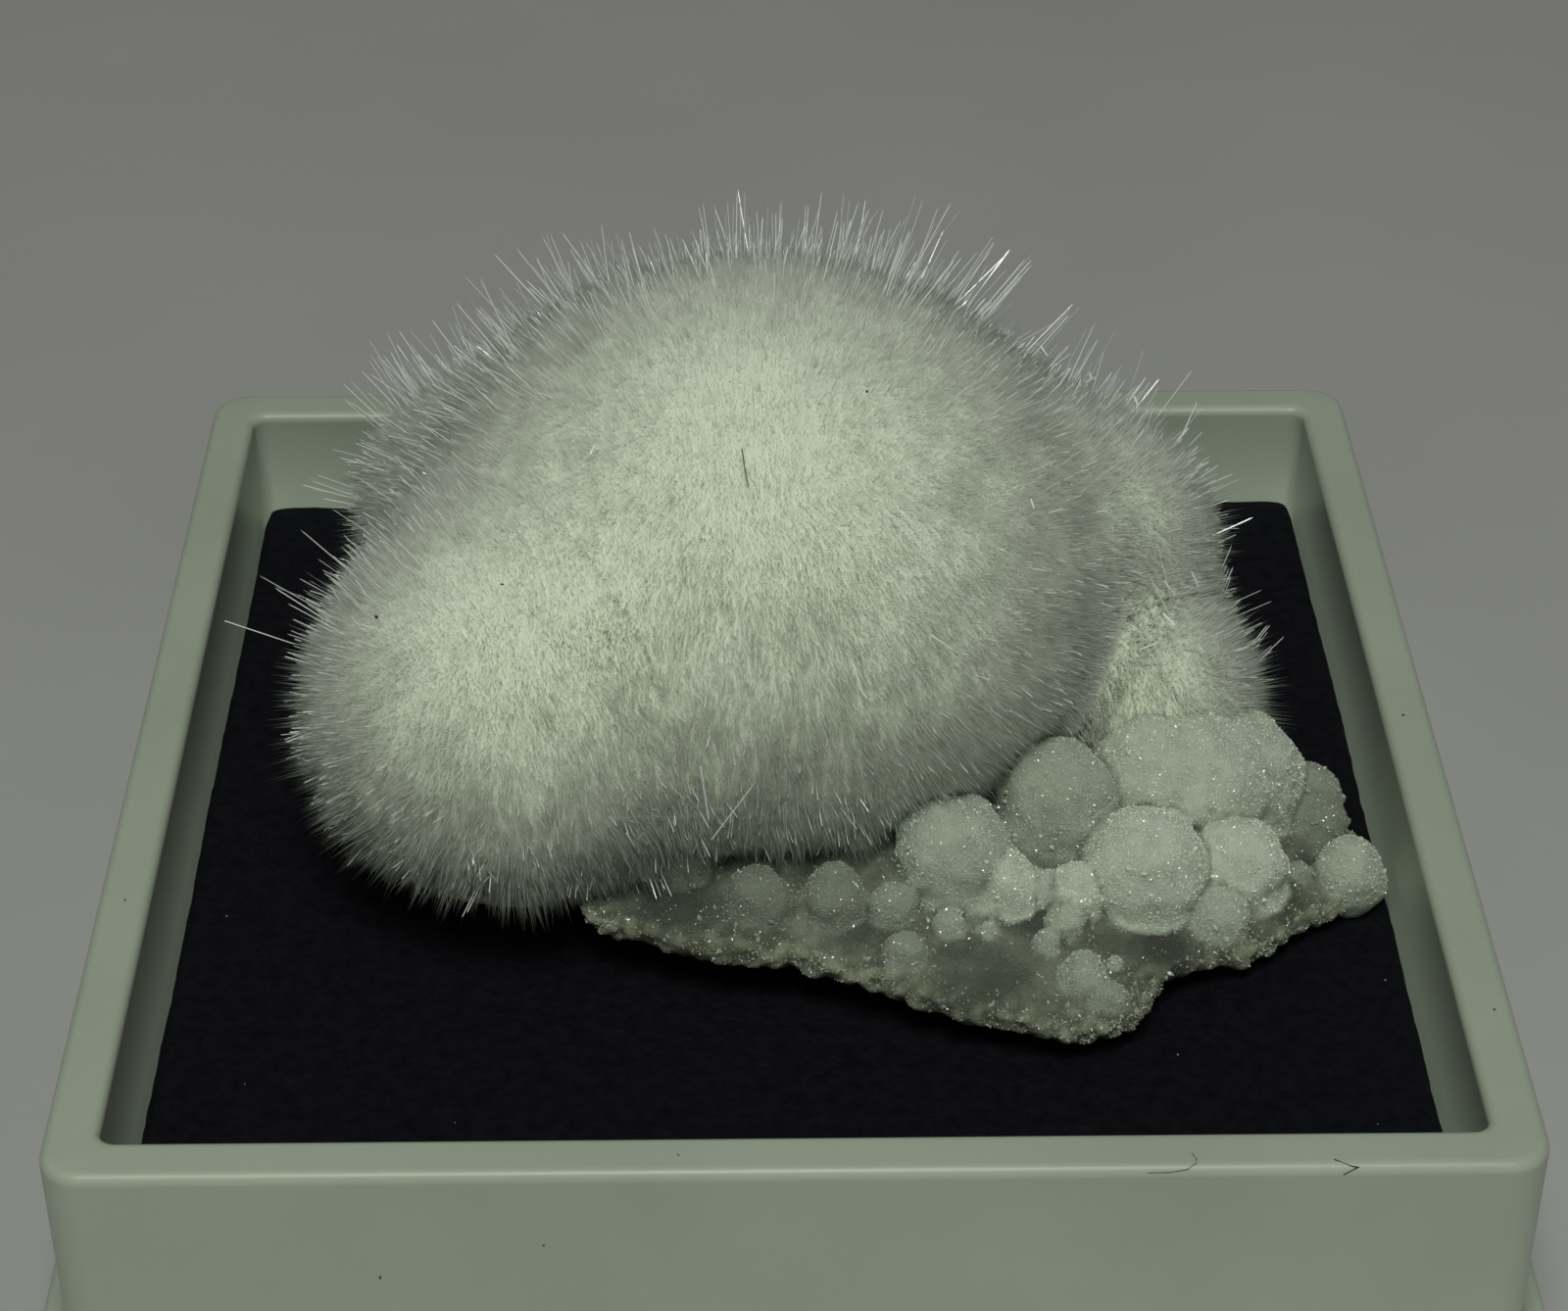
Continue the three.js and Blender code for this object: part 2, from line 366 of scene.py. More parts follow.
# %% Black foam
black_foam, shader = new_material("black_foam", Roughness=0.95, Specular_IOR_Level=0.12)
speckle = noise(black_foam, 0.5 * MM, 6, 0.7)
shade = ramp(black_foam, speckle, [(0.35, (0.003, 0.003, 0.005)), (0.75, (0.009, 0.009, 0.013))])
link(black_foam, shade, shader.inputs["Base Color"])
cells = add_node(
    black_foam, "ShaderNodeTexVoronoi", Vector=object_places(black_foam), Scale=1 / (0.22 * MM),
).outputs["Distance"]
bump(black_foam, shader, cells, 0.6, 0.12 * MM)
foam = finish_piece("foam", foam_mesh, black_foam, "black_foam", "foam_pad")

# %% [markdown]
# ## The crust
#
# The crust is a thin plate of quartz with rounded lumps of all sizes, each covered in tiny crystals.
# The lumps could be joined by hand, but a voxel remesh does it better: the plate, the lumps, a foot
# under each lump and small balls on it overlap as loose shapes, and the remesh makes one skin over
# all of them.

# %% Lumps: X, Y and radius in mm, the height of the middle above the crust in radii, and how milky
LUMPS = [
    (12.4, -2.7, 2.15, 0.35, 0.85), (11.2, -2.7, 1.9, 0.35, 0.85), (13.7, -1.9, 1.95, 0.35, 0.8),
    (8.0, -4.1, 1.7, 0.3, 0.62), (4.8, -6.2, 1.65, 0.3, 0.7), (6.3, -7.1, 0.95, 0.4, 1.0),
    (7.4, -7.0, 0.57, 0.35, 0.8), (10.5, -6.3, 1.75, 0.35, 0.95), (8.4, -7.2, 0.8, 0.4, 1.0),
    (8.1, -8.2, 0.55, 0.4, 0.7), (13.4, -5.6, 1.45, 0.35, 0.95), (12.6, -7.5, 0.85, 0.3, 0.7),
    (16.3, -1.4, 0.9, 0.35, 0.4), (16.2, -2.7, 0.85, 0.3, 0.35), (16.9, -4.9, 1.0, 0.35, 0.75),
    (17.5, -4.7, 0.6, 0.3, 0.75), (15.4, -5.0, 0.35, 0.6, 0.45), (4.7, -8.5, 0.42, 0.5, 0.6),
    (5.8, -8.5, 0.3, 0.5, 0.6), (3.0, -7.9, 0.65, 0.4, 0.5), (7.5, -9.0, 0.36, 0.6, 0.6),
    (8.4, -10.3, 0.65, 0.6, 0.6), (9.4, -9.4, 0.22, 0.7, 0.7), (9.1, -11.0, 0.52, 0.3, 0.5),
    (1.3, -7.6, 0.95, 0.3, 0.35), (-0.9, -7.7, 0.95, 0.3, 0.3), (-3.3, -5.8, 1.15, 0.3, 0.3),
    (3.3, -9.6, 0.6, 0.2, 0.45),
]
CRUST_LEVEL, CRUST_FALL = 9.43, 0.075
HILL_X, HILL_WIDTH, HILL_DEPTH, HILL_HEIGHT = 6, 8.5, 7, 2.6


def crust_top(x, y):
    """The height of the crust's upper face, in mm, at a place in mm."""
    across, along = (x - HILL_X) / HILL_WIDTH, y / HILL_DEPTH
    return CRUST_LEVEL - CRUST_FALL * x + HILL_HEIGHT * np.exp(-(across**2) - along**2)


lump_middles = np.array([(x, y, crust_top(x, y) + lift * r) for x, y, r, lift, _ in LUMPS])
lump_radii, lump_tones = np.array([(r, tone) for _, _, r, _, tone in LUMPS]).T
print(len(LUMPS), "lumps, the largest", 2 * lump_radii.max(), "mm across")

# %% Overlapping shapes of the crust
BEYOND_FACETS = 1.05  # so that the lumps hide the facets of the solid
FOOT_SINKS = 0.25, 0.5  # how far below a lump the balls of its foot lie, in radii
rng = np.random.default_rng(7)
noise3.seed_set(7)  # without a seed, the noise vectors below start from the clock
bm = bmesh.new()
bm.from_mesh(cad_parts["matrix"].data)
bmesh.ops.remove_doubles(bm, verts=bm.verts, dist=1e-7)


def add_ball(bm, middle, radius, detail=3):
    """A smooth ball added to the bmesh; its middle and radius are in mm."""
    made = bmesh.ops.create_icosphere(bm, subdivisions=detail, radius=radius * MM)
    bmesh.ops.translate(bm, verts=made["verts"], vec=Vector(middle) * MM)


def unit(rows):
    """Each row scaled to a length of 1."""
    return rows / np.linalg.norm(rows, axis=1, keepdims=True)


def random_directions(count):
    """Unit vectors that point all ways alike."""
    return unit(rng.normal(size=(count, 3)))


lump_radii *= BEYOND_FACETS
knobs = []
for middle, radius, tone in zip(lump_middles, lump_radii, lump_tones):
    add_ball(bm, middle, radius, 4)
    for sink in FOOT_SINKS:
        foot = middle - (0, 0, sink * radius)
        add_ball(bm, foot, radius)
    knobs.append((*foot, radius, tone))
    count = int(3 + 4 * radius)
    for way, share in zip(random_directions(count), rng.uniform(0.2, 0.4, count)):
        if way[2] > -0.2:
            place = middle + way * radius * (1.01 - 0.8 * share)
            add_ball(bm, place, share * radius)
            knobs.append((*place, share * radius, tone + rng.uniform(-0.1, 0.1)))
knobs = np.array(knobs)
lump_middles = np.vstack([lump_middles, knobs[:, :3]])
lump_radii, lump_tones = np.append(lump_radii, knobs[:, 3]), np.append(lump_tones, knobs[:, 4])
crust_shapes = mesh_from(bm, "crust_shapes")
print("crust before the remesh:", len(crust_shapes.polygons), "faces")

# %% [markdown]
# The remeshed skin is smoothed, so that the facets of the solid go. Then each point moves a little
# along its normal. Low swellings come from smooth noise. The sugary grain comes from cell noise, and
# it is strong on the plate and its edge but faint on the lumps, which are nearly smooth.

# %% Remesh the crust
VOXEL = 0.15 * MM
crust_mesh = baked(crust_shapes, [
    ("REMESH", {"mode": "VOXEL", "voxel_size": VOXEL}),
    ("SMOOTH", {"factor": 0.5, "iterations": 9}),
])
print("crust:", len(crust_mesh.vertices), "points")

# %% Tell lumps from plate, and the edge from the middle
CRUST_OUTLINE = np.array([
    (18.1, -4.7), (17.2, -5.7), (16.1, -6.2), (14.9, -6.9), (14.2, -8.0), (13.1, -8.6),
    (11.8, -8.9), (10.8, -9.8), (10.0, -10.8), (9.2, -11.7), (8.0, -12.1), (6.6, -12.0),
    (5.2, -11.6), (4.1, -11.4), (3.4, -10.7), (2.0, -10.3), (0.4, -9.8), (-0.9, -9.4),
    (-2.7, -9.3), (-4.5, -8.6), (-6.0, -8.0), (-6.9, -6.2), (-7.6, -3.0), (-8.6, 1.0),
    (-9.6, 5.0), (-9.0, 8.5), (-6.0, 10.8), (-2.0, 12.2), (3.0, 13.4), (8.0, 14.0), (12.2, 13.0),
    (14.0, 10.6), (14.6, 8.0), (15.0, 4.5), (15.6, 1.8), (16.4, -0.6), (17.0, -2.4), (18.0, -3.4),
])
# clear dark patches in the plate: X, Y, radius in mm, and how clear
PATCHES = [
    (10.9, -8.6, 1.0, 1.0), (14.6, -6.2, 0.9, 0.9), (15.8, -4.6, 0.5, 0.8), (7.0, -8.0, 0.7, 0.9),
    (5.6, -10.2, 1.7, 0.6), (2.2, -8.9, 0.9, 0.5), (-3.4, -7.6, 1.3, 0.9), (-1.5, -8.8, 0.9, 0.4),
]


def points_of(mesh, source="vertices", name="co"):
    """The mesh's points, or what else it lists by threes, one row each."""
    rows = np.empty(len(getattr(mesh, source)) * 3, np.float32)
    getattr(mesh, source).foreach_get(name, rows)
    return rows.reshape(-1, 3)


def carry(mesh, name, values):
    """Gives each point of the mesh a value under this name."""
    made = mesh.attributes.new(name, "FLOAT", "POINT")
    made.data.foreach_set("value", np.asarray(values, np.float32))


def outside_lumps(places):
    """How far each place is from the nearest lump, in mm; below 0 inside one."""
    nearest = np.full(len(places), np.inf)
    for middle, radius in zip(lump_middles, lump_radii):
        nearest = np.minimum(nearest, np.linalg.norm(places - middle, axis=1) - radius)
    return nearest


def lump_tone(places):
    """How milky the lumps near each place are, from 0 to 1."""
    total, tones = np.full(len(places), 1e-9), np.zeros(len(places))
    for middle, radius, tone in zip(lump_middles, lump_radii, lump_tones):
        gap = np.linalg.norm(places - middle, axis=1) - radius
        weight = np.exp(-np.clip(gap, -1, 3) / 0.12)
        total += weight
        tones += weight * tone
    return tones / total


def clear_share(places):
    """How far each place lies in one of the clear patches, from 0 to 1."""
    share = np.zeros(len(places))
    for x, y, radius, depth in PATCHES:
        away = np.hypot(places[:, 0] - x, places[:, 1] - y) / radius
        share = np.maximum(share, depth * np.clip(1.6 - away * 1.1, 0, 1))
    return share


def from_edge(places):
    """How far each place is, seen from above, from the outline of the crust, in mm."""
    nearest = np.full(len(places), np.inf)
    for start, end in zip(CRUST_OUTLINE, np.roll(CRUST_OUTLINE, -1, axis=0)):
        side = end - start
        along = np.clip((places[:, :2] - start) @ side / (side @ side), 0, 1)
        nearest = np.minimum(
            nearest, np.linalg.norm(places[:, :2] - start - along[:, None] * side, axis=1)
        )
    return nearest


LUMP_BORDER, RAGGED = 0.1, 0.06  # mm, how wide and how uneven a lump's border is
RIM_WIDTH, DARK_BELOW_START, DARK_BELOW_BORDER = 1.1, 0.75, 0.3  # mm; below the crust's upper face its colour turns nearly black


def noise_at(places, size):
    """Smooth noise at each place, about -1 to 1, with features of this size."""
    return np.array([noise3.noise(place) for place in places / size])


def crust_shares(places):
    """What the material needs to know about each place of the crust, each from 0 to 1."""
    ragged = RAGGED * noise_at(places, 0.4)
    milky = 1 - np.clip((outside_lumps(places) - 0.01 + ragged) / LUMP_BORDER, 0, 1)
    under = crust_top(places[:, 0], places[:, 1]) - places[:, 2]
    return {
        "milky": milky,
        "tone": lump_tone(places),
        "rim": (1 - np.clip(from_edge(places) / RIM_WIDTH, 0, 1)) * (1 - milky),
        "glassy": clear_share(places) * (1 - milky),
        "rocky": np.clip((under - DARK_BELOW_START) / DARK_BELOW_BORDER, 0, 1),
    }


places = points_of(crust_mesh) / MM
shares = crust_shares(places)
print("lump share of the crust:", round(float(shares["milky"].mean()), 2))

# %% Roughen it
SWELL, LUMP_GRAIN, PLATE_GRAIN = 0.2, 0.09, 0.24  # mm, how high
SWELL_SIZE, CELL_SIZE, FINE_SIZE = 1.1, 0.55, 0.37  # mm, how wide
normals = points_of(crust_mesh, "vertex_normals", "vector")
swell = noise_at(places, SWELL_SIZE)
cells = np.array([noise3.voronoi(p)[0][0] for p in places / CELL_SIZE])
fine = noise_at(places, FINE_SIZE)
sugar = np.clip(0.5 - cells, -0.25, 0.5) + 0.45 * fine
rough = (1 - shares["milky"]) * (0.4 + 0.6 * shares["rim"]) * (1 - 0.85 * shares["glassy"])
push = SWELL * swell * (1 - 0.5 * shares["rim"]) + (LUMP_GRAIN + PLATE_GRAIN * rough) * sugar
moved = (places + normals * push[:, None]) * MM
moved[:, 2] = np.maximum(moved[:, 2], FOAM_TOP - 0.05 * MM)
crust_mesh.vertices.foreach_set("co", moved.astype(np.float32).ravel())
crust_mesh.update()
for name, values in shares.items():
    carry(crust_mesh, name, values)
carry(crust_mesh, "sugar", np.clip(0.5 + sugar, 0, 1))

# %% [markdown]
# Quartz here is a greenish, cloudy glass. Some lumps are milky and some are clearer, the plate
# between them is sugary with dark clear patches, and the broken edge is a little yellow. Below its
# upper face the crust turns nearly black. Each point carries those shares, and the material mixes its
# tints by them.

# %% Quartz crust
OF_CRUST = "quartz_crust", "matrix"  # the slot, and the node that is replaced


def quartz_tints(material):
    """The colour of the crust, from the shares that its points carry."""
    patches = noise(material, 1.6 * MM, 4, 0.55)
    plate = ramp(material, patches, [
        (0.34, (0.16, 0.18, 0.125)), (0.5, (0.27, 0.30, 0.22)), (0.66, (0.40, 0.44, 0.33)),
    ])
    rim = ramp(material, attribute(material, "sugar"), [
        (0.3, (0.13, 0.14, 0.085)), (0.75, (0.44, 0.465, 0.32)),
    ])
    lump = ramp(material, attribute(material, "tone"), [
        (0.25, (0.29, 0.33, 0.25)), (0.6, (0.56, 0.63, 0.50)), (1.0, (0.86, 0.95, 0.78)),
    ])
    cloud = ramp(material, noise(material, 0.6 * MM, 5, 0.65), [
        (0.3, (0.80, 0.80, 0.80)), (0.6, (1.0, 1.0, 1.0)),
    ])
    plate = mix(material, attribute(material, "rim"), plate, rim)
    plate = mix(material, attribute(material, "glassy"), plate, (0.085, 0.095, 0.07))
    top = mix(material, attribute(material, "milky"), plate, mix(material, 1.0, lump, cloud, "MULTIPLY"))
    # nearly black below the crust's upper face
    dark_underside = ramp(material, patches, [(0.35, (0.015, 0.014, 0.012)), (0.7, (0.06, 0.055, 0.045))])
    return mix(material, attribute(material, "rocky"), top, dark_underside)


quartz, shader = new_material(
    "quartz_crust", Roughness=0.5, IOR=1.54, Subsurface_Weight=0.6, Subsurface_Scale=0.8 * MM,
    Subsurface_Radius=(1.0, 1.0, 0.8), Specular_IOR_Level=0.5,
)
link(quartz, quartz_tints(quartz), shader.inputs["Base Color"])
gloss = ramp(quartz, attribute(quartz, "glassy"), [(0.1, (0.5, 0.5, 0.5)), (0.8, (0.18, 0.18, 0.18))])
link(quartz, gloss, shader.inputs["Roughness"])
bump(quartz, shader, noise(quartz, 0.12 * MM, 4, 0.7), 1.0, 0.16 * MM)
finish_piece("crust", crust_mesh, quartz, *OF_CRUST)

# %% [markdown]
# ## The balls
#
# Five balls of fibres overlap, and two of them have a small bump. Each has a middle and three radii,
# nearly those of its solid. They didn't grow as separate balls that touch: where two meet, the
# fibres lean the same way and fill the crease. So each place takes a share of every ball near it,
# and that gives one joined skin with soft creases, and a way out of it that turns smoothly from one
# ball to the next.

# %% Balls: middle and radii in mm, and the level below which a ball has no fibres
BALLS = {
    "large": ((-0.85, 3.2, 15.0), (11.2, 11.0, 8.9), 9.3),
    "left_shoulder": ((-9.3, 7.8, 13.8), (4.5, 4.5, 4.5), 9.3),
    "upper_right": ((9.4, 4.9, 14.6), (4.1, 4.1, 4.1), 9.3),
    "lower_right": ((11.0, 1.2, 10.4), (3.95, 3.95, 3.95), 9.3),
    "upper_bump": ((10.3, 3.6, 15.1), (2.65, 2.65, 2.65), 9.3),
    "lower_bump": ((11.45, 0.7, 11.7), (2.75, 2.75, 2.75), 9.3),
    "left": ((-8.2, -2.9, 13.75), (6.3, 6.3, 6.3), 7.55),
}
MELT, BUMP_MELT = 2.6, 1.6  # mm, how far from a crease the balls run into one another
BUMP_PAINTED_SHADE = {"upper_bump": 0.14, "lower_bump": 0.24}  # painted shade: the fibres of the bumps are darkened, to tone down bumps that face the lamp


def share_out(places, name):
    """How far out each place lies in the ball: 1 is at its radius."""
    middle, radii, _ = BALLS[name]
    return np.linalg.norm((places - np.array(middle)) / np.array(radii), axis=1)


def gap_to(places, name):
    """How far each place lies outside the ball, in mm."""
    length = np.linalg.norm(places - np.array(BALLS[name][0]), axis=1)
    return length * (1 - 1 / share_out(places, name))


def joined_skin(places, depth=0.0):
    """The places moved out or in to the joined skin, or to this depth below it, and the ways out.
    The third result is how strong the crease is there, 0 on a single ball."""
    for _ in range(6):
        gap, ways = np.full(len(places), 1e3), np.zeros_like(places)
        for name, (middle, _, _) in BALLS.items():
            own_gap, own_way = gap_to(places, name), unit(places - np.array(middle))
            melt = BUMP_MELT if "bump" in name else MELT
            share = np.clip(0.5 + 0.5 * (gap - own_gap) / melt, 0, 1)
            gap = gap * (1 - share) + own_gap * share - melt * share * (1 - share)
            ways = ways * (1 - share[:, None]) + own_way * share[:, None]
        length = np.linalg.norm(ways, axis=1)
        places = places - ways * ((gap + depth) / length**2)[:, None]
    return places, ways / length[:, None], 1 - length


# %% [markdown]
# Near their root the fibres touch one another and form a dense white body. Its skin lies a little
# below the skin of the balls, and the free end of each fibre stands on it.

# %% Dense body
BODY_DEPTH, BODY_WAVES = 0.36, 0.07  # mm: how far it lies below the skin, and how uneven it is
bm = bmesh.new()
for middle, radii, _ in BALLS.values():
    made = bmesh.ops.create_icosphere(bm, subdivisions=5, radius=MM)
    bmesh.ops.scale(bm, verts=made["verts"], vec=[r - BODY_DEPTH for r in radii])
    bmesh.ops.translate(bm, verts=made["verts"], vec=Vector(middle) * MM)
body_mesh = baked(mesh_from(bm, "dense_body"), [
    ("REMESH", {"mode": "VOXEL", "voxel_size": 0.28 * MM}),
    ("SMOOTH", {"factor": 0.5, "iterations": 6}),
])
skin, ways, _ = joined_skin(points_of(body_mesh) / MM, BODY_DEPTH)
skin += ways * (BODY_WAVES * noise_at(skin, 0.9))[:, None]
body_mesh.vertices.foreach_set("co", (skin * MM).astype(np.float32).ravel())
body_mesh.update()

# %% White fibre body
body_white, shader = new_material("dense_fibres", Roughness=0.75, Specular_IOR_Level=0.3)
soft_grain = noise(body_white, 0.16 * MM, 4, 0.7)
# the body is a little darker than the fibre roots: partly its own tone, partly painted shade for the
# gaps between the fibres
body_tint = ramp(body_white, soft_grain, [(0.3, (0.74, 0.81, 0.65)), (0.62, (0.86, 0.92, 0.77))])
link(body_white, body_tint, shader.inputs["Base Color"])
bump(body_white, shader, noise(body_white, 0.08 * MM, 3, 0.6), 0.6, 0.08 * MM)
OF_BALLS = "okenite_fibre", "okenite_puffballs"
finish_piece("dense_body", body_mesh, body_white, *OF_BALLS)

# %% [markdown]
# ## Fibres
#
# One fibre is a three-sided cone. It is made once with bmesh, and then copied along thousands of
# lines by arrays, because a hundred thousand objects or particles would be slow and can't be kept as
# plain mesh. Each copy is told its root, its tip, its width and its shade, and it is turned about its
# own line at random. The shade and the height along the fibre go into a UV map, which the material
# reads.

# %% One fibre and one long needle


def arrays_of(bm):
    """The points and the triangles of a bmesh, as arrays."""
    bmesh.ops.triangulate(bm, faces=bm.faces[:])
    bmesh.ops.recalc_face_normals(bm, faces=bm.faces)
    bm.verts.index_update()
    points = np.array([v.co[:] for v in bm.verts])
    corners = np.array([[v.index for v in f.verts] for f in bm.faces])
    bm.free()
    return points, corners


def pointed_shape(sides, shoulder=0, height=1):
    """A pointed shape, one unit long and one wide at its root: a cone, or a prism that keeps the
    radius shoulder up to this height and ends in a short point."""
    bm = bmesh.new()
    bmesh.ops.create_cone(
        bm, cap_ends=True, segments=sides, radius1=0.5, radius2=shoulder, depth=height,
    )
    bmesh.ops.translate(bm, verts=bm.verts, vec=(0, 0, height / 2))
    if height < 1:
        end = max(bm.faces, key=lambda f: f.calc_center_median().z)
        bmesh.ops.poke(bm, faces=[end], offset=1 - height)
    return arrays_of(bm)


def along_lines(name, shape, roots, tips, widths, material, part, shades=None, sharp=180):
    """A piece of many copies of a shape. Places and widths are in mm, and part is the slot and the
    node. Without shades, each copy has a random one."""
    if shades is None:
        shades = rng.random(len(roots))
    points, corners = shape
    lines = tips - roots
    ways = unit(lines)
    helper = np.where(np.abs(ways[:, 2:]) < 0.9, (0, 0, 1), (1, 0, 0))
    side = unit(np.cross(ways, helper))
    other = np.cross(ways, side)
    turns = rng.uniform(0, 2 * math.pi, (len(roots), 1))
    side, other = (
        side * np.cos(turns) + other * np.sin(turns), other * np.cos(turns) - side * np.sin(turns)
    )
    across = side[:, None] * points[None, :, 0:1] - other[:, None] * points[None, :, 1:2]
    placed = roots[:, None] + lines[:, None] * points[None, :, 2:3] + across * widths[:, None, None]
    faces = corners[None] + (np.arange(len(roots)) * len(points))[:, None, None]

    mesh = bpy.data.meshes.new(name)
    mesh.vertices.add(placed.size // 3)
    mesh.vertices.foreach_set("co", (placed * MM).astype(np.float32).ravel())
    mesh.loops.add(faces.size)
    mesh.loops.foreach_set("vertex_index", faces.astype(np.int32).ravel())
    mesh.polygons.add(faces.size // 3)
    mesh.polygons.foreach_set("loop_start", np.arange(0, faces.size, 3, dtype=np.int32))
    mesh.update(calc_edges=True)
    map_rows = np.empty((len(roots), *corners.shape, 2), np.float32)
    map_rows[..., 0] = shades[:, None, None]
    map_rows[..., 1] = points[corners, 2][None]
    mesh.uv_layers.new(name="OFBake").uv.foreach_set("vector", map_rows.ravel())
    finish_piece(name, mesh, material, *part, sharp=sharp)


FIBRE, NEEDLE = pointed_shape(3), pointed_shape(3, 0.38, 0.94)
print("triangles: fibre", len(FIBRE[1]), "needle", len(NEEDLE[1]))

# %% [markdown]
# Fibres that all stand exactly straight would look like a machine-made brush. Real ones gather in
# tufts, with gaps between. A smooth random field over the ball, the same for neighbours, bends the
# tips together and sets how far they reach. Where the skin faces down and to the left, the balls
# are shaggier than elsewhere.

# %% Places and ways of the fibres
HIGHEST_TIP = cad_box[1][2] / MM - 0.1  # mm above the table
ROOT_DEPTH = BODY_DEPTH + 0.25  # mm below the skin
TUFT_SIZE = 0.55  # mm
MEAN_SHADE = 0.55


def even_directions(count):
    """Unit vectors spread evenly by the golden angle, then shaken a little."""
    i = np.arange(count) + 0.5
    z = 1 - 2 * i / count
    turn = i * math.pi * (3 - math.sqrt(5))
    flat = np.sqrt(1 - z * z)
    rows = np.stack([flat * np.cos(turn), flat * np.sin(turn), z], axis=1)
    return unit(rows + rng.normal(0, 1.3 / math.sqrt(count), rows.shape))


def smooth_field(directions, waves, fields=1, terms=28):
    """Smooth random values over the ball, about -1 to 1, with this many waves round it."""
    out = np.zeros((len(directions), fields))
    for _ in range(terms):
        wave = random_directions(1)[0] * waves * rng.uniform(0.6, 1.5)
        phases = rng.uniform(0, 2 * math.pi, fields)
        out += np.sin(directions @ wave[:, None] + phases)
    return out / math.sqrt(terms)


def nearest_own(places, own, blur=0.5):
    """True where a place is nearest to its own ball; near a border the two sets of fibres mix."""
    free = np.ones(len(places), bool)
    for name in BALLS:
        if name != own:
            free &= gap_to(places, own) - gap_to(places, name) < rng.normal(0, blur, len(places))
    return free


def above_crust(places, clear):
    """True where a place is clear of the crust's upper face and of its lumps."""
    x, y, z = places.T
    return (z > crust_top(x, y) + clear) & (outside_lumps(places) > clear)


def tuft_middles(tips, size):
    """The middle of the tuft that each tip belongs to, and the tuft's number. Tufts are the cells of
    a bent grid."""
    bent = tips + size * np.array([noise3.noise_vector(p) for p in tips / (2 * size)])
    number = np.unique(np.floor(bent / size).astype(int), axis=0, return_inverse=True)[1].ravel()
    sums = np.stack([np.bincount(number, tips[:, i]) for i in range(3)], axis=1)
    return (sums / np.bincount(number)[:, None])[number], number


def fibres_of(name, count, reach, lean, clump, low=0.0):
    """Roots and tips, in mm, of the fibres of one ball, and a shade for each. reach gives how far
    each tip lies beyond the skin, lean is how far it sways to the side, and clump is how much
    the tips of a tuft draw together where the ball is shaggy."""
    middle, radii, level = BALLS[name]
    ways = even_directions(count)
    skin = np.array(middle) + ways * np.array(radii)
    skin, out, crease = joined_skin(skin)
    keep = nearest_own(skin, name) & (skin[:, 2] > level - 0.5)
    ways, skin, out, crease = ways[keep], skin[keep], out[keep], crease[keep]
    roots = skin - out * ROOT_DEPTH
    size = radii[0] / BALLS["large"][1][0]
    sway = smooth_field(ways, 26 * size, 3) * 0.5 + smooth_field(ways, 60 * size, 3) * 0.5
    shaggy = shagginess(out)
    reached = np.maximum(reach(ways, out) * (1 - 1.5 * crease), -BODY_DEPTH)
    tips = skin + out * reached[:, None] + (lean * (0.5 + shaggy))[:, None] * sway
    middles, number = tuft_middles(tips, TUFT_SIZE)
    tips += (middles - tips) * (clump * (0.2 + 0.8 * shaggy))[:, None]
    tufts = smooth_field(ways, 45 * size)[:, 0] + 0.7 * smooth_field(ways, 100 * size)[:, 0]
    shades = MEAN_SHADE - BUMP_PAINTED_SHADE.get(name, 0) + rng.normal(0, 0.05, len(ways))
    shades += (0.08 + 0.08 * shaggy) * tufts
    shades += shaggy * rng.normal(0, 0.25, number.max() + 1)[number]
    keep = (tips[:, 2] > level) & above_crust(tips, low)
    keep &= tips[:, 2] < HIGHEST_TIP
    return roots[keep], tips[keep], np.clip(shades, 0, 1)[keep]


def shagginess(out):
    """0 where the skin faces up or right and the fibres are even, and 1 where it faces down and
    left."""
    return np.clip(0.4 - 1.2 * out[:, 2], 0, 1) * np.clip(1.15 - 1.6 * out[:, 0], 0.15, 1)


def ball_area(radii):
    """The area of a ball with three radii, in square mm."""
    a, b, c = (r**1.6 for r in radii)
    return 4 * math.pi * ((a * b + a * c + b * c) / 3) ** (1 / 1.6)


# %% [markdown]
# The short fibres make the velvet of the ball. Their reach is a bell curve with a few longer ones,
# and it rises and falls from tuft to tuft.

# %% Short fibres
DENSITY = 165  # fibres per square mm
BUMP_EXTRA = 1.7  # more of them on the bumps, because the joined skin stands out beyond a bump
SHORT_WIDTH = 0.034  # mm, at the root


def short_reach(ways, out):
    """How far beyond the skin the tips of short fibres lie, in mm."""
    shaggy = shagginess(out)
    tuft = smooth_field(ways, 20)[:, 0] * (0.04 + 0.18 * shaggy)
    longer = rng.exponential(0.25 + 0.35 * shaggy) * (rng.random(len(ways)) < 0.2 + 0.15 * shaggy)
    return tuft + rng.normal(0, 0.12, len(ways)) + np.minimum(longer, 0.85)


# %% [markdown]
# A fibre is clear like glass, but thousands together scatter the light and look white. The colour of
# each fibre runs from near white at the root to dark grey-green at the tip: painted light and shade,
# standing in for the glow deep among the fibres and for the dimmer tips seen from the side.

# %% Silky fibres


def copy_map(material):
    """The shade of each copy, and the height along it, from the map of the mesh."""
    uv = add_node(material, "ShaderNodeUVMap", {"uv_map": "OFBake"}).outputs["UV"]
    parts = add_node(material, "ShaderNodeSeparateXYZ", Vector=uv).outputs
    return parts["X"], parts["Y"]


def fibre_material(name, root, middle, tip, **values):
    """White fibres whose colour runs from root to tip, each a little lighter or darker."""
    material, shader = new_material(name, **values)
    shade, height = copy_map(material)
    # painted light and shade: bright roots, dark tips
    along = ramp(material, height, [(0.25, root), (0.6, middle), (0.95, tip)])
    each = ramp(material, shade, [(0.0, (0.55, 0.57, 0.52)), (0.7, (1.0, 1.0, 1.0))])
    link(material, mix(material, 1.0, along, each, "MULTIPLY"), shader.inputs["Base Color"])
    return material


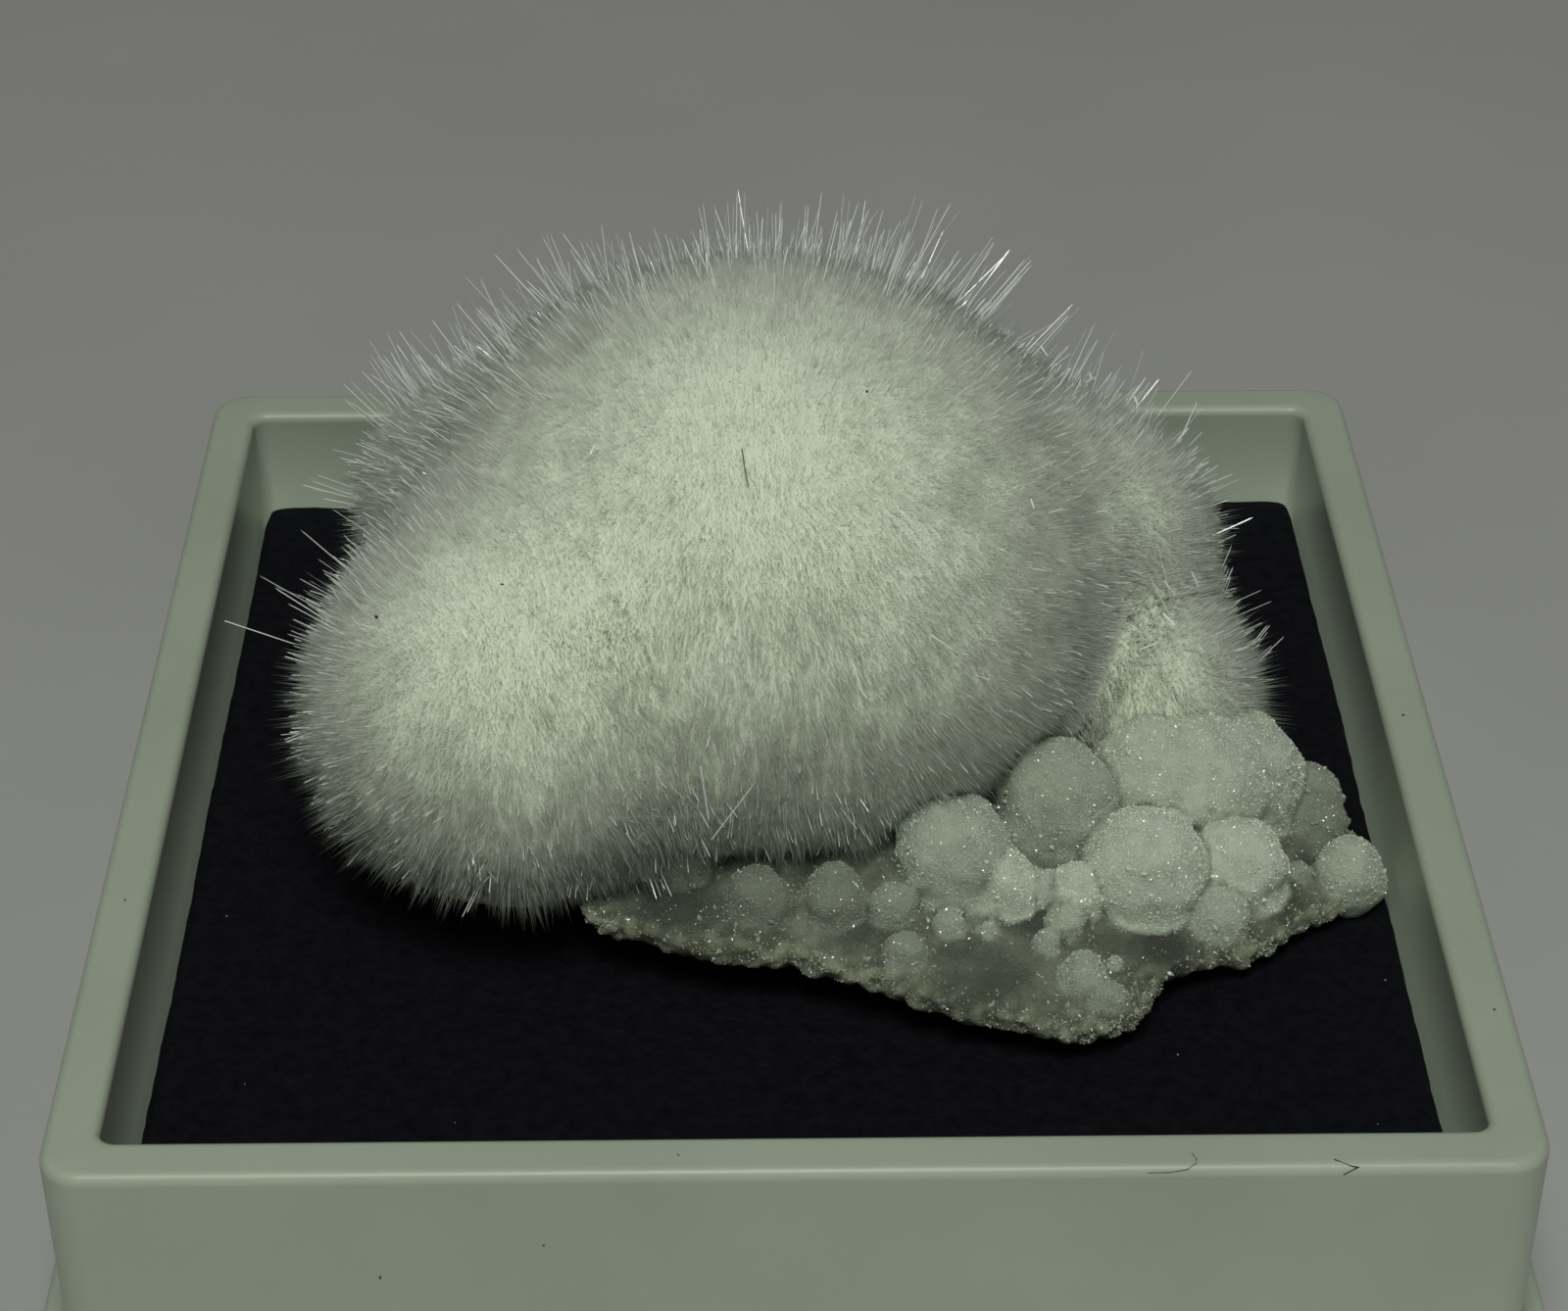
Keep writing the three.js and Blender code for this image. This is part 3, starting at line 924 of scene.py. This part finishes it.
silky = fibre_material(
    "silky_fibres", (0.92, 0.97, 0.83), (0.77, 0.84, 0.67), (0.27, 0.33, 0.21),
    Roughness=0.45, Specular_IOR_Level=0.5, Subsurface_Weight=0.5, Subsurface_Scale=0.4 * MM,
    Subsurface_Radius=(1.0, 1.0, 0.9),
)
PIECES = {"large": 3, "left": 1}
for name, (_, radii, _) in BALLS.items():
    count = int(DENSITY * ball_area(radii) * (BUMP_EXTRA if "bump" in name else 1))
    roots, tips, shades = fibres_of(name, count, short_reach, lean=0.16, clump=0.75)
    parts = PIECES.get(name, 1)
    for part in range(parts):
        some = slice(part, None, parts)
        widths = SHORT_WIDTH * rng.uniform(0.7, 1.3, len(roots[some]))
        suffix = f"_{part + 1}" if parts > 1 else ""
        along_lines(
            f"fibres_{name}{suffix}", FIBRE, roots[some], tips[some], widths, silky, OF_BALLS,
            shades[some],
        )

# %% [markdown]
# ## Long needles
#
# Here and there single crystals outgrow the velvet. They are thick enough to be clear, and they
# flash where a flat side mirrors the lamp. They stand in loose groups, most of them round the top
# and the left side, and few on the face of a ball.

# %% Long needles
CRYSTAL_EDGE = 20  # degrees; past this an edge of a crystal stays crisp
LONG_DENSITY = 5.5  # needles per square mm
LONGEST = 2.0  # mm beyond the skin
NEEDLE_WIDTHS = 0.018, 0.05  # mm


def long_reach(ways, out):
    """How far beyond the skin the tips of long needles lie, in mm."""
    group = np.clip(smooth_field(ways, 9)[:, 0], -0.6, 1.2)
    side = np.clip(0.25 + 0.6 * out[:, 2] + 0.75 * out[:, 1] - 0.15 * out[:, 0], 0.02, 1.3)
    length = (0.2 + rng.exponential(0.55, len(ways))) * (0.6 + 0.6 * group) * side
    return np.minimum(length, LONGEST)


clear_needles, _ = new_material(
    "clear_needles", Base_Color=(0.95, 0.97, 0.92, 1), Roughness=0.2, IOR=1.53,
    Transmission_Weight=0.15, Specular_IOR_Level=1.0,
)
for name, (_, radii, _) in BALLS.items():
    count = int(LONG_DENSITY * ball_area(radii))
    roots, tips, _ = fibres_of(name, count, long_reach, lean=0.35, clump=0, low=0.05)
    tips += rng.normal(0, 0.1, tips.shape) * np.linalg.norm(tips - roots, axis=1, keepdims=True)
    tips[:, 2] = np.minimum(tips[:, 2], HIGHEST_TIP)
    widths = rng.uniform(*NEEDLE_WIDTHS, len(roots))
    along_lines(
        f"needles_{name}", NEEDLE, roots, tips, widths, clear_needles, OF_BALLS, sharp=CRYSTAL_EDGE,
    )

# %% [markdown]
# The longest ones come in small groups that stand out beyond the outline of the balls. Each group is
# given by where it grows, where its tips reach and how many needles it has, and the needles spread
# round that.

# %% Groups of needles: root and tip in mm, and how many
NEEDLE_GROUPS = [
    ((3.5, 5.2, 23.1), (5.2, 8.2, 25.1), 7), ((-7.0, 8.3, 21.5), (-7.4, 9.4, 23.0), 6),
    ((-8.5, 4.0, 21.5), (-9.6, 5.4, 23.3), 7), ((-6.5, 6.6, 22.2), (-7.5, 7.7, 23.8), 6),
    ((-5.5, 7.2, 22.4), (-5.9, 8.4, 24.0), 7), ((-4.4, 4.6, 23.3), (-4.7, 5.8, 25.1), 6),
    ((-12.3, 9.2, 17.4), (-13.1, 10.3, 18.9), 6), ((-11.2, 9.3, 17.9), (-11.9, 9.9, 18.8), 5),
    ((-2.5, 9.3, 22.4), (-2.7, 10.1, 23.6), 5), ((-1.2, 9.4, 22.6), (-1.1, 10.5, 24.1), 6),
    ((-0.3, 9.3, 22.6), (-0.2, 10.1, 23.7), 5), ((1.9, 9.2, 22.5), (1.8, 9.9, 23.5), 5),
    ((3.4, 5.0, 23.2), (4.3, 6.0, 24.7), 5), ((5.7, 8.4, 21.8), (6.7, 9.3, 23.1), 6),
    ((6.9, 7.8, 21.7), (7.7, 8.6, 22.7), 6), ((8.3, 7.7, 20.6), (9.1, 8.1, 21.2), 5),
    ((9.5, 7.0, 19.6), (9.9, 7.7, 20.6), 5), ((10.7, 6.7, 18.6), (11.3, 7.2, 19.2), 5),
    ((12.0, 0.3, 14.6), (10.8, 1.7, 16.6), 9), ((11.5, 0.7, 15.4), (10.7, 1.4, 16.5), 6),
    ((13.8, 2.8, 13.3), (14.1, 3.7, 14.7), 7), ((14.9, 1.8, 12.1), (15.3, 2.4, 12.9), 6),
    ((13.5, 5.2, 16.1), (14.2, 5.4, 16.3), 4), ((13.2, 3.2, 15.2), (14.4, 3.5, 15.7), 4),
    ((-13.4, 8.8, 17.0), (-14.2, 9.3, 17.7), 5), ((-14.7, 7.4, 14.9), (-15.4, 7.8, 15.4), 6),
    ((-11.9, 9.3, 17.6), (-12.7, 9.8, 18.4), 5),
]
roots, tips = [], []
for root, tip, count in NEEDLE_GROUPS:
    reach = np.linalg.norm(np.subtract(tip, root))
    starts = np.array(root) + rng.normal(0, 0.12 + 0.06 * reach, (count, 3))
    ways = np.subtract(tip, root) + rng.normal(0, 0.11 * reach, (count, 3))
    roots.append(joined_skin(starts, 0.5)[0])
    tips.append(starts + ways * rng.uniform(0.5, 1.0, (count, 1)))
roots, tips = np.vstack(roots), np.vstack(tips)
tips[:, 2] = np.minimum(tips[:, 2], HIGHEST_TIP)
widths = rng.uniform(0.022, 0.048, len(roots))
along_lines(
    "needle_groups", NEEDLE, roots, tips, widths, clear_needles, OF_BALLS, sharp=CRYSTAL_EDGE,
)

# %% [markdown]
# Some needles have broken off and lie on the velvet, and they flash as short bright strokes. They are
# given one by one, from end to end, and each settles on the fibres below it. Four more still stand:
# two on the bare crust, one on the upper right ball, and a long one that leans from the left ball
# over the foam.

# %% Loose needles: both ends in mm, and the width
LOOSE_NEEDLES = [
    ((-12.48, 6.22, 17.67), (-11.05, 3.02, 19.39), 0.07),
    ((-5.64, -2.23, 22.12), (-5.50, -2.00, 22.27), 0.07),
    ((-5.62, -0.09, 22.92), (-5.36, -0.27, 22.98), 0.06),
    ((-14.62, -1.65, 17.09), (-14.19, -1.70, 16.83), 0.09),
    ((-7.06, -6.01, 19.80), (-6.93, -6.23, 19.65), 0.08),
    ((-12.14, 2.51, 17.84), (-11.56, 0.19, 19.27), 0.05),
    ((8.74, 1.30, 20.26), (9.38, 2.27, 19.90), 0.06), ((4.06, -6.21, 18.49), (4.66, -6.18, 17.97), 0.06),
    ((6.52, -5.71, 15.40), (7.44, -4.89, 14.18), 0.05),
    ((9.08, -3.06, 13.27), (9.53, -2.79, 12.84), 0.05),
    ((9.69, -2.07, 15.52), (10.05, -1.71, 15.18), 0.05),
    ((10.53, -1.53, 14.64), (11.19, -1.09, 14.62), 0.05),
    ((11.33, 0.19, 15.98), (11.70, 0.17, 15.49), 0.06),
    ((6.31, -4.49, 18.91), (7.21, -3.99, 18.44), 0.045),
    ((-2.54, -8.18, 15.48), (-2.33, -8.12, 13.48), 0.07),
    ((-2.26, -7.91, 12.63), (-1.00, -8.12, 14.84), 0.04),
    ((-4.66, -8.74, 13.49), (-4.44, -8.57, 12.86), 0.06),
    ((-14.85, -3.53, 14.44), (-14.26, -4.91, 15.52), 0.06),
    ((-14.79, -2.34, 15.96), (-14.59, -2.38, 15.90), 0.05),
    ((-4.27, -3.37, 21.96), (-4.22, -3.54, 21.87), 0.05),
    ((7.21, -1.94, 20.36), (7.29, -2.15, 20.15), 0.06),
    ((-2.89, -5.26, 20.87), (-2.67, -5.41, 20.76), 0.04),
    ((-9.20, -6.58, 19.17), (-9.03, -6.84, 19.01), 0.04),
    ((9.14, 6.07, 19.06), (9.56, 6.64, 18.93), 0.09), ((9.69, 6.81, 19.68), (9.86, 6.82, 19.25), 0.11),
    ((11.01, 6.65, 18.7), (11.13, 6.45, 18.47), 0.1), ((12.39, 5.74, 17.67), (12.76, 5.97, 18.03), 0.07),
    ((8.03, 7.08, 20.24), (8.24, 6.81, 20.04), 0.08), ((11.83, 1.19, 15.6), (12.07, 1.17, 15.07), 0.07),
    ((11.17, -0.08, 14.49), (11.52, -0.33, 14.22), 0.08),
]
STANDING_NEEDLES = [
    ((-0.88, -7.75, 9.5), (-0.88, -7.5, 10.75), 0.06), ((3.0, -8.2, 9.6), (3.2, -8.35, 10.3), 0.05),
    ((12.4, 6.2, 17.2), (13.0, 7.0, 18.2), 0.06), ((-16.6, -2.0, 16.3), (-14.5, -2.4, 15.7), 0.035),
]
all_needles = LOOSE_NEEDLES + STANDING_NEEDLES
roots, tips = (np.array([row[i] for row in all_needles]) for i in (0, 1))
widths = np.array([row[2] for row in all_needles])
loose = slice(len(LOOSE_NEEDLES))
middles = (roots[loose] + tips[loose]) / 2
settle = joined_skin(middles, -0.3)[0] - middles
roots[loose] += settle
tips[loose] += settle
print("loose needles settle by", np.linalg.norm(settle, axis=1).mean().round(2), "mm on average")
# their plain white, whiter than the fibres, is partly their own colour and partly a painted highlight
# for their flashes
bright_needles, _ = new_material(
    "bright_needles", Base_Color=(1.0, 1.0, 0.97, 1), Roughness=0.25, Specular_IOR_Level=1.0,
)
along_lines(
    "loose_needles", NEEDLE, roots, tips, widths, bright_needles, OF_BALLS, sharp=CRYSTAL_EDGE,
)

# %% [markdown]
# ## Crystals on the crust
#
# The crust glitters because each of its tiny crystals mirrors the lamp in its own direction. A bump
# alone can't do that from every side, so real grains stand on the skin: thousands of small pointed
# ones everywhere, in the colour of the place that they stand on, and clear six-sided points along
# the edge and in the creases.

# %% Where crystals may stand
GRAIN, CRYSTAL = pointed_shape(4), pointed_shape(6, 0.42, 0.5)
centres = points_of(crust_mesh, "polygons", "center") / MM
normals = points_of(crust_mesh, "polygons", "normal")
open_air = (normals[:, 2] > -0.1) & (centres[:, 2] > FOAM_TOP / MM + 0.4)
for name in BALLS:
    open_air &= share_out(centres, name) > 0.95
candidates = np.flatnonzero(open_air)
starts = np.empty(len(crust_mesh.polygons), np.int32)
crust_mesh.polygons.foreach_get("loop_start", starts)
corners = np.empty(len(crust_mesh.loops), np.int32)
crust_mesh.loops.foreach_get("vertex_index", corners)
shares = {name: values[corners[starts[candidates]]] for name, values in shares.items()}
print("faces that crystals may stand on:", len(candidates))

# %% Stand them up


def stand(name, shape, count, odds, size, spread, tallest, tall, lean, material):
    """Crystals on the crust. odds weighs the candidates; size, spread and tallest are widths in mm,
    and tall is the height in widths."""
    size = np.broadcast_to(size, len(candidates))
    picked = rng.choice(len(candidates), count, p=odds / odds.sum())
    faces = candidates[picked]
    ways = unit(normals[faces] + rng.normal(0, lean, (count, 3)))
    aside = rng.uniform(-0.09, 0.09, (count, 3))
    aside -= normals[faces] * (aside * normals[faces]).sum(axis=1, keepdims=True)
    widths = np.minimum(size[picked] + rng.exponential(spread, count), tallest)
    roots = centres[faces] + aside - ways * 0.04
    tips = centres[faces] + aside + ways * (widths * tall)[:, None]
    shades = lightness[picked] * rng.uniform(0.85, 1.1, count)
    shades = np.clip(shades, 0, 1)
    along_lines(name, shape, roots, tips, widths, material, OF_CRUST, shades, CRYSTAL_EDGE)


sugar_grains, shader = new_material("sugar_grains", Roughness=0.2, IOR=1.54, Specular_IOR_Level=1.0)
grain_tint = ramp(sugar_grains, copy_map(sugar_grains)[0], [
    (0.05, (0.05, 0.056, 0.04)), (0.3, (0.30, 0.335, 0.25)), (0.95, (0.90, 0.99, 0.82)),
])
link(sugar_grains, grain_tint, shader.inputs["Base Color"])
bare = (1 - shares["milky"]) * (1 - shares["glassy"])
on_lumps = shares["milky"] > 0.5
patches = noise_at(centres[candidates], 1.6)
lightness = 0.25 + 0.12 * patches + 0.1 * shares["rim"]
lightness += (0.09 - lightness) * shares["glassy"]
lightness += (0.1 + 0.8 * shares["tone"] - lightness) * shares["milky"]
SUGAR_COUNT = 26000
stand(
    "sugar_on_lumps", GRAIN, SUGAR_COUNT, on_lumps, 0.06, 0.012, 0.11, 0.4, 0.6, sugar_grains,
)
stand(
    "sugar_on_plate", GRAIN, SUGAR_COUNT, np.where(on_lumps, 0, 0.15 + 0.7 * bare + 0.8 * shares["rim"]),
    0.045 + 0.015 * bare, 0.012, 0.11, 0.6, 0.5, sugar_grains,
)
clear_quartz, _ = new_material(
    "clear_quartz", Base_Color=(0.46, 0.50, 0.39, 1), Roughness=0.12, IOR=1.54,
    Transmission_Weight=0.15, Specular_IOR_Level=1.0,
)
crease = np.clip(1 - np.abs(outside_lumps(centres[candidates]) - 0.1) / 0.3, 0, 1)
stand(
    "quartz_points", CRYSTAL, 1500, np.where(on_lumps, 0, 0.12 + shares["rim"] + 0.5 * crease * bare),
    0.04 + 0.02 * bare, 0.025, 0.16, 1.0, 0.5, clear_quartz,
)
stand("glints_on_lumps", CRYSTAL, 1100, on_lumps, 0.05, 0.03, 0.16, 0.8, 0.6, sugar_grains)

# %% [markdown]
# ## Dust and hairs
#
# A small open box gathers dust. A few dark specks lie on the fibres, on the rim and on the front
# wall, and a few light ones on the foam. Each is a tiny crystal shape with a dull material. Two fine
# hairs lie on the front rim. A thin dark strip in the top of the large ball is painted shade, for
# the shadow in a narrow slit between the fibres. A hair, like that strip, is a chain of thin needles,
# each starting inside the one before.

# %% Dust and hairs


def specks(name, places, widths, material, part):
    """Small grains lying at these places, in mm."""
    places, widths = np.array(places), np.array(widths)
    ways = random_directions(len(places)) * widths[:, None] * 0.6
    along_lines(name, CRYSTAL, places - ways, places + ways, widths, material, part)


def hair(name, places, width, material, part):
    """A thin hair through these places, in mm."""
    places = np.array(places)
    steps = np.diff(places, axis=0)
    along_lines(
        name, NEEDLE, places[:-1] - steps * 0.05, places[1:] + steps * 0.05,
        np.full(len(steps), width), material, part,
    )


OF_BOX = "white_plastic", "display_box_base"
dark_dust, _ = new_material("dark_dust", Base_Color=(0.035, 0.035, 0.02, 1), Roughness=0.8)
pale_dust, _ = new_material("pale_dust", Base_Color=(0.30, 0.31, 0.27, 1), Roughness=0.7)
dark_sliver, _ = new_material("dark_sliver", Base_Color=(0.16, 0.17, 0.11, 1), Roughness=0.7)
grey_hair, _ = new_material("grey_hair", Base_Color=(0.28, 0.28, 0.30, 1), Roughness=0.5)
specks(
    "dust_on_fibres", [(-11.71, -5.28, 18.66), (-8.05, -5.49, 19.86), (2.31, -0.62, 23.2)],
    [0.10, 0.07, 0.08], dark_dust, OF_BALLS,
)
# painted shade: a dark strip where a narrow slit between the fibres lies in shadow
hair(
    "dark_sliver", [(-1.30, -2.87, 22.62), (-1.22, -3.43, 22.32), (-1.12, -3.9, 22.02)], 0.05,
    dark_sliver, OF_BALLS,
)
specks(
    "dust_on_box", [
        (19.13, 0.06, 11.0), (19.43, -13.77, 11.0), (-11.13, -20.0, 7.34), (-6.71, -20.0, 8.45),
        (-19.2, -8.5, 11.0), (4.4, 19.1, 11.0), (-3.1, -19.3, 11.0),
    ], [0.10, 0.08, 0.07, 0.06, 0.06, 0.07, 0.05], dark_dust, OF_BOX,
)
on_foam = [
    (-17.0, -5.0), (11.1, -11.6), (17.6, -8.4), (-9.5, -14.2), (3.1, -16.4), (-15.6, -12.5),
    (14.9, 14.2), (-14.4, 15.8), (16.4, -14.6),
]
specks(
    "dust_on_foam", [(x, y, FOAM_TOP / MM) for x, y in on_foam],
    [0.06, 0.07, 0.06, 0.04, 0.05, 0.04, 0.06, 0.05, 0.04], pale_dust, ("black_foam", "foam_pad"),
)
RIM_MM = RIM / MM + 0.01
hair(
    "dark_hair", [
        (14.15, -19.70, RIM_MM), (14.57, -19.88, RIM_MM - 0.07), (14.74, -19.91, RIM_MM - 0.08),
        (14.36, -20.01, RIM_MM - 0.25),
    ], 0.045, dark_dust, OF_BOX,
)
hair(
    "grey_hair", [
        (10.42, -19.42, RIM_MM), (10.50, -19.62, RIM_MM), (10.48, -19.79, RIM_MM),
        (10.25, -19.92, RIM_MM - 0.09), (9.77, -19.97, RIM_MM - 0.14), (9.21, -19.97, RIM_MM - 0.15),
    ], 0.035, grey_hair, OF_BOX,
)

# %% [markdown]
# ## Floor and light
#
# The box stands on a plain pale floor. One large soft lamp hangs above and in front, so the rim and
# the tops are the brightest, the front wall is darker, and the side walls inside are darkest. A weak
# second lamp and a faint even sky keep the shadows from going black.

# %% Floor
bm = bmesh.new()
bmesh.ops.create_grid(bm, x_segments=1, y_segments=1, size=2.0)
floor_mesh = mesh_from(bm, "floor")
pale_floor, shader = new_material("pale_floor", Roughness=0.7)
floor_tint = ramp(
    pale_floor, noise(pale_floor, 20 * MM, 3), [(0.3, (0.47, 0.47, 0.46)), (0.7, (0.50, 0.50, 0.49))]
)
link(pale_floor, floor_tint, shader.inputs["Base Color"])
floor_mesh.materials.append(pale_floor)
floor = new_object("floor", floor_mesh)

# %% Lamps
LAMP_TINT = (0.97, 1.0, 0.94)


def lamp(name, place, aim, size, watts):
    """A square soft lamp; place, aim and size are in mm."""
    data = bpy.data.lights.new(name, "AREA")
    data.size = size * MM
    data.energy = watts
    data.color = LAMP_TINT
    made = new_object(name, data)
    made.location = Vector(place) * MM
    made.rotation_euler = (Vector(aim) - Vector(place)).to_track_quat("-Z", "Y").to_euler()


lamp("key", (-10, -165, 316), (0, 0, 10), 120, 0.59)
lamp("front_fill", (90, -280, 130), (0, 0, 10), 200, 0.05)
world = bpy.data.worlds.new("studio")
world.use_nodes = True
sky = world.node_tree.nodes["Background"]
sky.inputs["Color"].default_value = (1, 1, 1, 1)
sky.inputs["Strength"].default_value = 0.065
bpy.context.scene.world = world
bpy.context.scene.view_settings.view_transform = "Standard"

# %% Size and finish
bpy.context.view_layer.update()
shown = [o for o in bpy.data.objects if o.type == "MESH" and not o.hide_render and o != floor]
print("triangles in all:", sum(len(o.data.loop_triangles) for o in shown))
